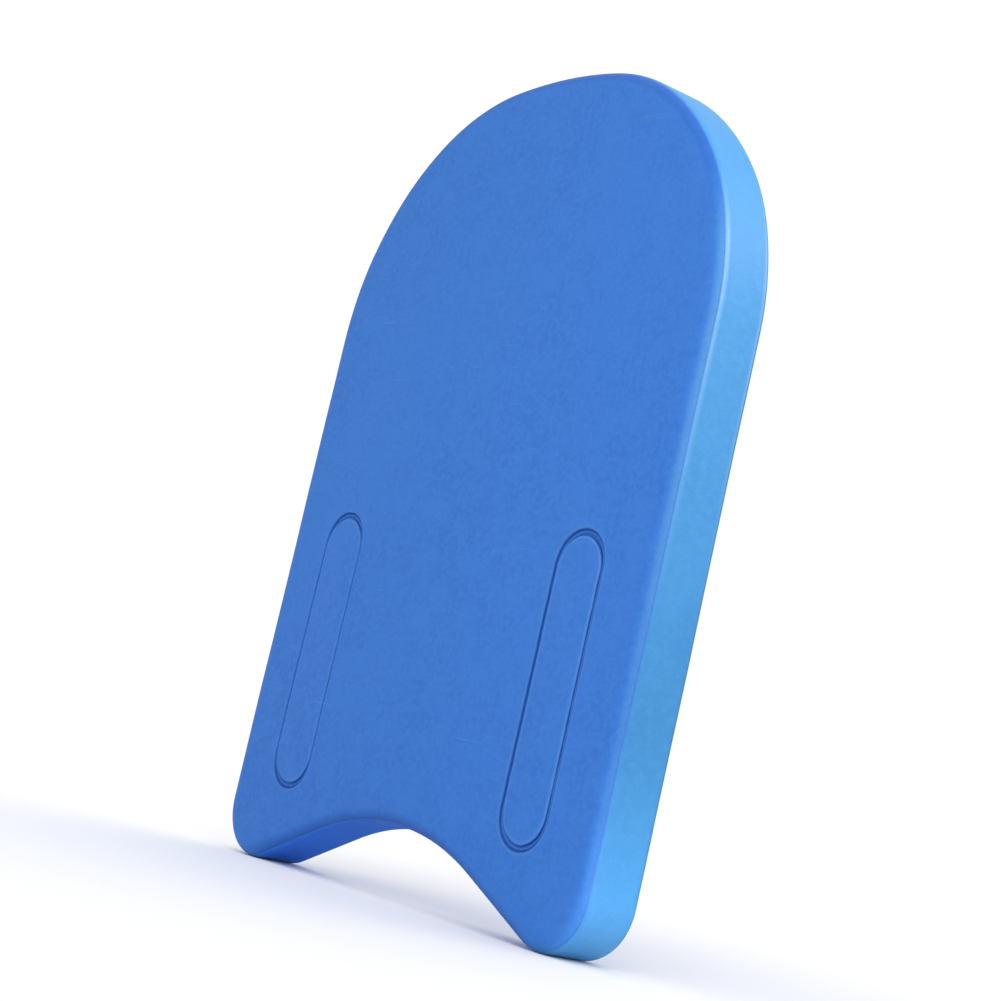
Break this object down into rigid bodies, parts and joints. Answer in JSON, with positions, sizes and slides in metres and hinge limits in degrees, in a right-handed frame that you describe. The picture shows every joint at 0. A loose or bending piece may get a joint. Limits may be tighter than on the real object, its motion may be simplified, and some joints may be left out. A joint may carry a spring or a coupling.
{
  "type": "kickboard float",
  "caption": "Swimming kickboard of laminated foam: domed top, straight sides, arched notch between rounded lobes, and oval grip pads set flush in the front skin.",
  "frame": {"origin": "middle of the footprint of the two lobes, on the surface the board stands on", "axes": "+Z along the board's length from the lobes to the dome, -Y out of the front face that holds the grip pads, +X to the right seen from the front"},
  "size_m": [0.29, 0.031, 0.39],
  "materials": {
    "core_foam": "cut closed-cell foam, fine open cells on the cut face",
    "skin_foam": "smooth matt foam skin",
    "pad_foam": "smooth matt foam skin",
    "bond_film": "thin hot-melt film"
  },
  "bodies": {
    "root": {"foam_core": "core_foam", "front_bond_film": "bond_film", "back_bond_film": "bond_film", "front_skin": "skin_foam", "back_skin": "skin_foam", "left_grip_pad": "pad_foam", "right_grip_pad": "pad_foam"}
  },
  "joints": []
}
